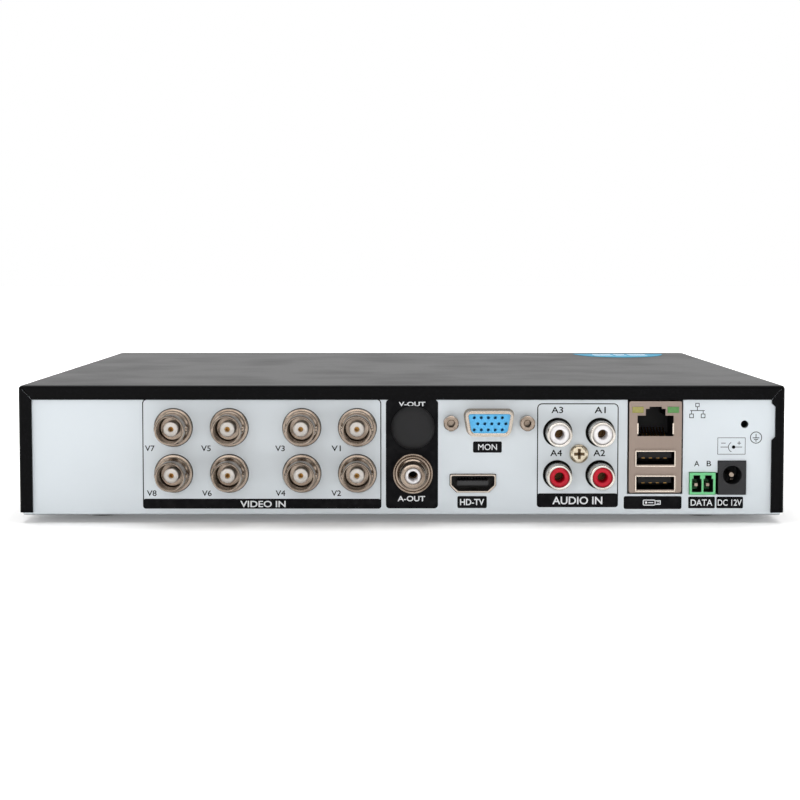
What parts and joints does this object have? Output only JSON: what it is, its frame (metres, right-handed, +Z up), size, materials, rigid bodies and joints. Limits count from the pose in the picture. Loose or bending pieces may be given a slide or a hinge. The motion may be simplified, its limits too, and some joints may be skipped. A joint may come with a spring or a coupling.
{
  "type": "video recorder",
  "caption": "Low black steel security video recorder with a white socket panel, gloss front, and a board, hard drive and fan inside.",
  "frame": {"origin": "under the middle of the whole outline, on the surface that the feet stand on", "axes": "+X to the right seen from the front, +Y towards the sockets at the back, +Z up"},
  "size_m": [0.2548, 0.241, 0.0456],
  "materials": {
    "powder_black": "fine powder coat, satin",
    "panel_white": "smooth satin paint",
    "screw_black": "black zinc",
    "screw_zinc": "bright zinc plate",
    "foot_rubber": "matt moulded rubber",
    "label_blue": "printed film",
    "fascia_black": "polished moulding",
    "window_smoked": "smoked clear plastic",
    "key_black": "satin moulding",
    "switch_black": "moulded",
    "board_green": "green solder mask over glass laminate",
    "chip_black": "moulded epoxy",
    "lamp_clear": "clear epoxy",
    "sink_aluminium": "extruded, plain",
    "post_brass": "turned",
    "capacitor_can": "drawn can",
    "inductor_grey": "ferrite",
    "cell_steel": "nickel plated",
    "socket_white": "moulded nylon",
    "connector_black": "glass-filled moulding",
    "nickel": "bright nickel plate",
    "insulator_white": "moulded",
    "insulator_red": "moulded",
    "contact_gold": "gold flash",
    "insert_blue": "moulded",
    "lamp_yellow": "tinted clear",
    "lamp_green": "tinted clear",
    "terminal_green": "moulded",
    "cap_black": "soft moulding",
    "drive_cast": "die casting",
    "drive_lid": "pressed steel",
    "disc_mirror": "polished disc",
    "fan_black": "glass-filled moulding",
    "lead_black": "plastic insulation"
  },
  "bodies": {
    "root": {"chassis_tray": "panel_white", "top_cover": "powder_black", "cover_screws": "screw_black", "feet": "foot_rubber", "top_label": "label_blue", "front_fascia": "fascia_black", "front_window": "window_smoked", "front_board_parts": "switch_black", "front_board": "board_green", "status_lamps": "lamp_clear", "main_board": "board_green", "board_posts": "post_brass", "inner_screws": "screw_zinc", "heat_sink": "sink_aluminium", "board_chips": "chip_black", "board_inductors": "inductor_grey", "board_capacitors": "capacitor_can", "coin_cell": "cell_steel", "board_headers": "socket_white", "buzzer": "switch_black", "video_in_bodies": "connector_black", "video_in_barrels": "nickel", "video_in_insulators": "insulator_white", "video_in_contacts": "contact_gold", "output_stack_body": "connector_black", "audio_out_barrel": "nickel", "audio_in_body": "connector_black", "audio_in_barrels": "nickel", "phono_white_inserts": "insulator_white", "phono_red_inserts": "insulator_red", "audio_in_screw": "screw_zinc", "phono_contacts": "contact_gold", "monitor_stack_body": "connector_black", "monitor_port_shell": "nickel", "monitor_port_insert": "insert_blue", "jackscrews": "nickel", "hd_port_shell": "nickel", "hd_port_tongue": "connector_black", "network_port_shell": "nickel", "network_port_insert": "connector_black", "network_port_contacts": "contact_gold", "link_lamp_yellow": "lamp_yellow", "link_lamp_green": "lamp_green", "data_terminal_body": "terminal_green", "data_terminal_pins": "nickel", "power_jack_body": "connector_black", "power_jack_pin": "nickel", "drive_base": "drive_cast", "drive_cover": "drive_lid", "drive_board": "board_green", "drive_socket": "connector_black", "drive_screws": "screw_zinc", "fan_frame": "fan_black", "inner_leads": "lead_black"},
    "power_key": {"power_key": "key_black", "switch_plunger": "switch_black"},
    "fan_rotor": {"fan_rotor": "fan_black"},
    "video_out_cap": {"video_out_cap": "cap_black"},
    "drive_platters": {"drive_platters": "disc_mirror"},
    "drive_arm": {"drive_arm": "sink_aluminium"}
  },
  "joints": [
    {"name": "power_key_press", "type": "slide", "parent": "root", "child": "power_key", "axis": [0, 1, 0], "range_m": [0, 0.0008], "stiffness_N_per_m": 800},
    {"name": "fan_spin", "type": "hinge", "parent": "root", "child": "fan_rotor", "pos_m": [0.11915, -0.06055, 0.0237], "axis": [1, 0, 0], "continuous": true},
    {"name": "video_out_cap_pull", "type": "slide", "parent": "root", "child": "video_out_cap", "axis": [0, 1, 0], "range_m": [0, 0.012]},
    {"name": "platter_spin", "type": "hinge", "parent": "root", "child": "drive_platters", "pos_m": [-0.0525, -0.05095, 0.0143], "axis": [0, 0, 1], "continuous": true},
    {"name": "head_arm_swing", "type": "hinge", "parent": "root", "child": "drive_arm", "pos_m": [0.0025, -0.07295, 0.0143], "axis": [0, 0, 1], "range_deg": [0, 40]}
  ]
}
